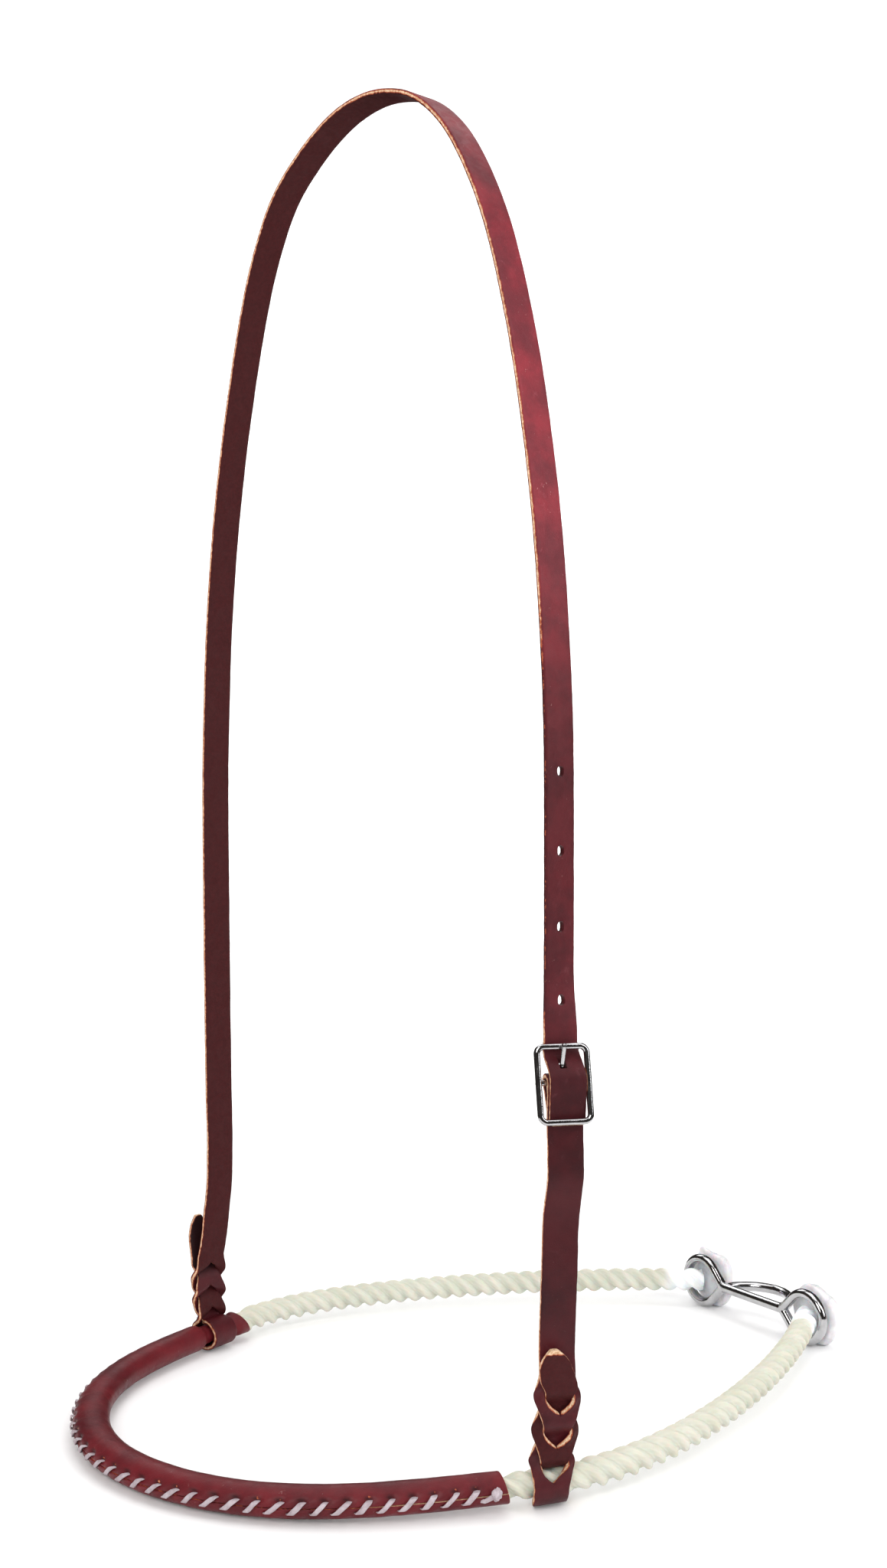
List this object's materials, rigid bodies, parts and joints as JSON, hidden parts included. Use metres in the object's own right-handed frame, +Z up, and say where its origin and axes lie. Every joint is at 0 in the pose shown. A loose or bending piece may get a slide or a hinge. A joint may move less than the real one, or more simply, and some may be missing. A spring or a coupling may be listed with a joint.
{
  "type": "rope noseband",
  "caption": "Rope noseband with a laced leather nose cover, a metal jaw connector and a buckled leather headstall strap tied round the rope with interlaced slit knots.",
  "frame": {"origin": "centre of the bounding box's footprint, on the surface that the noseband stands on", "axes": "+Z up towards the poll strap, +X from the nose towards the jaw, -Y on the near side, which has the buckle"},
  "size_m": [0.3274, 0.2228, 0.487],
  "materials": {
    "latigo_leather": "oiled burgundy leather with raw tan edges",
    "cover_leather": "oiled burgundy leather, wrapped wet",
    "lace_hide": "pale rawhide lacing",
    "rope_fibre": "cream laid rope",
    "fused_fibre": "melted rope fibre, translucent white",
    "chrome": "bright plating"
  },
  "bodies": {
    "noseband": {"rope": "rope_fibre", "nose_cover": "cover_leather", "cover_lace": "lace_hide", "near_rope_stop": "fused_fibre", "far_rope_stop": "fused_fibre"},
    "headstall": {"crown_strap": "latigo_leather", "cheek_strap": "latigo_leather"},
    "connector": {"connector": "chrome"},
    "buckle": {"buckle_frame": "chrome"},
    "tongue": {"buckle_tongue": "chrome"}
  },
  "joints": [
    {"name": "headstall_swing", "type": "hinge", "parent": "noseband", "child": "headstall", "pos_m": [-0.04815, -0.09665, 0.00734], "axis": [-0.1153, 0.9933, -0.0027], "range_deg": [-3, 3]},
    {"name": "connector_rock", "type": "hinge", "parent": "noseband", "child": "connector", "pos_m": [0.1451, 0.00365, 0.01181], "axis": [0, 1, 0], "range_deg": [-8, 8]},
    {"name": "buckle_tilt", "type": "hinge", "parent": "headstall", "child": "buckle", "pos_m": [-0.04928, -0.10435, 0.13735], "axis": [0.9655, -0.2437, 0.0921], "range_deg": [-2, 2]},
    {"name": "tongue_lift", "type": "hinge", "parent": "buckle", "child": "tongue", "pos_m": [-0.04928, -0.10435, 0.13735], "axis": [0.9655, -0.2437, 0.0921], "range_deg": [0, 4]}
  ]
}
